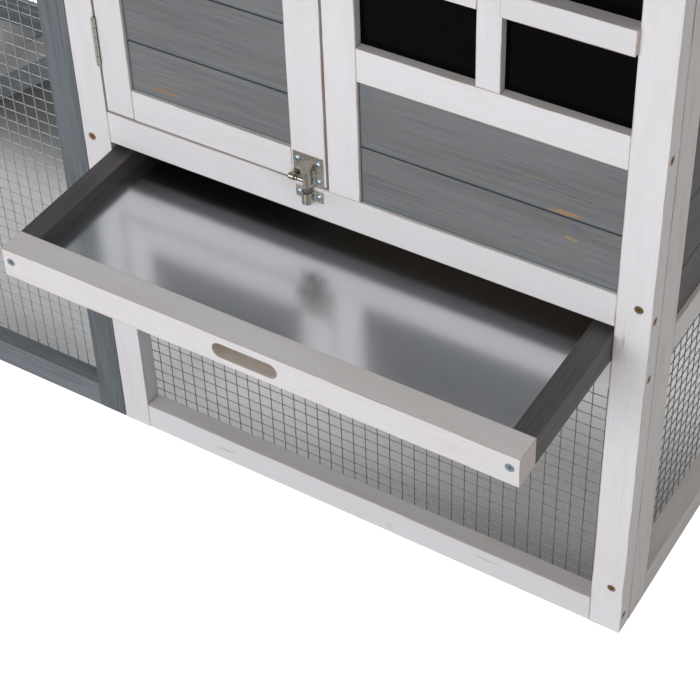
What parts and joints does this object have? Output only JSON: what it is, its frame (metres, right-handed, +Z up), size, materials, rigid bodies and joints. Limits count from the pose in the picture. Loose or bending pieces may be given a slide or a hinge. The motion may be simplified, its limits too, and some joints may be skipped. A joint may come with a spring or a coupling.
{
  "type": "rabbit hutch",
  "caption": "Two-storey rabbit hutch: painted wooden house with roof, door, window and pull-out litter tray, beside a wire run with door, lid and ramp",
  "frame": {"origin": "centre of the bounding box in plan, at ground level, with the tray pulled out as modelled", "axes": "+X runs to the right along the front, from run to house; +Y runs from the front to the back; +Z is up"},
  "size_m": [1.489, 0.6924, 0.7485],
  "materials": {
    "white_paint": "white satin paint over wood",
    "grey_paint": "grey satin paint over wood",
    "run_stain": "grey stain, streaked by the grain",
    "tray_stain": "charcoal satin paint over wood",
    "bare_wood": "bare softwood",
    "ramp_wood": "thin grey-brown stain",
    "galvanised_wire": "galvanised",
    "hinge_steel": "zinc plated",
    "nickel_bolt": "nickel plated",
    "zinc_screw": "blue zinc plated",
    "brass_screw": "yellow plated",
    "tray_metal": "bright galvanised sheet",
    "black_acrylic": "gloss black",
    "felt": "mineral roofing felt"
  },
  "bodies": {
    "frame": {"front_post_left": "white_paint", "front_post_centre": "white_paint", "front_post_right": "white_paint", "front_rails": "white_paint", "front_header_rail": "white_paint", "window_sill": "white_paint", "window_bars": "white_paint", "window_pane": "black_acrylic", "window_boards": "grey_paint", "front_mesh": "galvanised_wire", "side_stiles": "white_paint", "side_rails": "white_paint", "right_boards": "grey_paint", "right_mesh": "galvanised_wire", "left_boards": "grey_paint", "back_stiles": "white_paint", "back_rails": "white_paint", "back_boards": "grey_paint", "back_mesh": "galvanised_wire", "tray_runners": "bare_wood", "run_posts": "run_stain", "run_rails": "run_stain", "run_front_mesh": "galvanised_wire", "run_end_mesh": "galvanised_wire", "run_back_mesh": "galvanised_wire", "frame_screws": "brass_screw", "fixed_hinge_leaves": "hinge_steel", "hinge_pins": "hinge_steel", "bolt_keepers": "nickel_bolt", "keeper_screws": "zinc_screw"},
    "house_door": {"door_stiles": "white_paint", "door_rails": "white_paint", "door_boards": "grey_paint", "door_hinge_leaves": "hinge_steel", "door_bolt_guide": "nickel_bolt", "door_screws": "zinc_screw"},
    "house_bolt": {"door_bolt": "nickel_bolt"},
    "tray": {"tray_front": "white_paint", "tray_sides": "tray_stain", "tray_sheet": "tray_metal", "tray_screws": "zinc_screw"},
    "ramp": {"ramp_board": "ramp_wood", "ramp_rails": "run_stain", "ramp_cleats": "ramp_wood", "ramp_hinge_leaves": "hinge_steel"},
    "run_door": {"run_door_stiles": "run_stain", "run_door_rails": "run_stain", "run_door_mesh": "galvanised_wire", "run_door_hinge_leaves": "hinge_steel", "run_door_bolt_guide": "nickel_bolt", "run_door_screws": "zinc_screw"},
    "run_bolt": {"run_door_bolt": "nickel_bolt"},
    "run_lid": {"lid_stiles": "run_stain", "lid_rails": "run_stain", "lid_mesh": "galvanised_wire", "lid_hinge_leaves": "hinge_steel"},
    "roof": {"roof_boards": "bare_wood", "roof_felt": "felt", "roof_trim": "white_paint", "roof_hinge_leaves": "hinge_steel"}
  },
  "joints": [
    {"name": "tray_slide", "type": "slide", "parent": "frame", "child": "tray", "axis": [0, -1, 0], "range_m": [-0.151, 0.219]},
    {"name": "house_door_hinge", "type": "hinge", "parent": "frame", "child": "house_door", "pos_m": [0.2153, -0.1973, 0.56], "axis": [0, 0, -1], "range_deg": [0, 105]},
    {"name": "house_bolt_slide", "type": "slide", "parent": "house_door", "child": "house_bolt", "axis": [0, 0, -1], "range_m": [0, 0.008]},
    {"name": "run_door_hinge", "type": "hinge", "parent": "frame", "child": "run_door", "pos_m": [-0.7137, -0.1973, 0.28], "axis": [0, 0, -1], "range_deg": [0, 105]},
    {"name": "run_bolt_slide", "type": "slide", "parent": "run_door", "child": "run_bolt", "axis": [1, 0, 0], "range_m": [0, 0.008]},
    {"name": "run_lid_hinge", "type": "hinge", "parent": "frame", "child": "run_lid", "pos_m": [-0.2945, 0.3169, 0.5602], "axis": [-1, 0, 0], "range_deg": [0, 100]},
    {"name": "roof_hinge", "type": "hinge", "parent": "frame", "child": "roof", "pos_m": [0.451, 0.3169, 0.64795], "axis": [-1, 0, 0], "range_deg": [0, 75]},
    {"name": "ramp_hinge", "type": "hinge", "parent": "frame", "child": "ramp", "pos_m": [0.1835, 0.2128, 0.334], "axis": [0, 1, 0], "range_deg": [0, 45]}
  ]
}
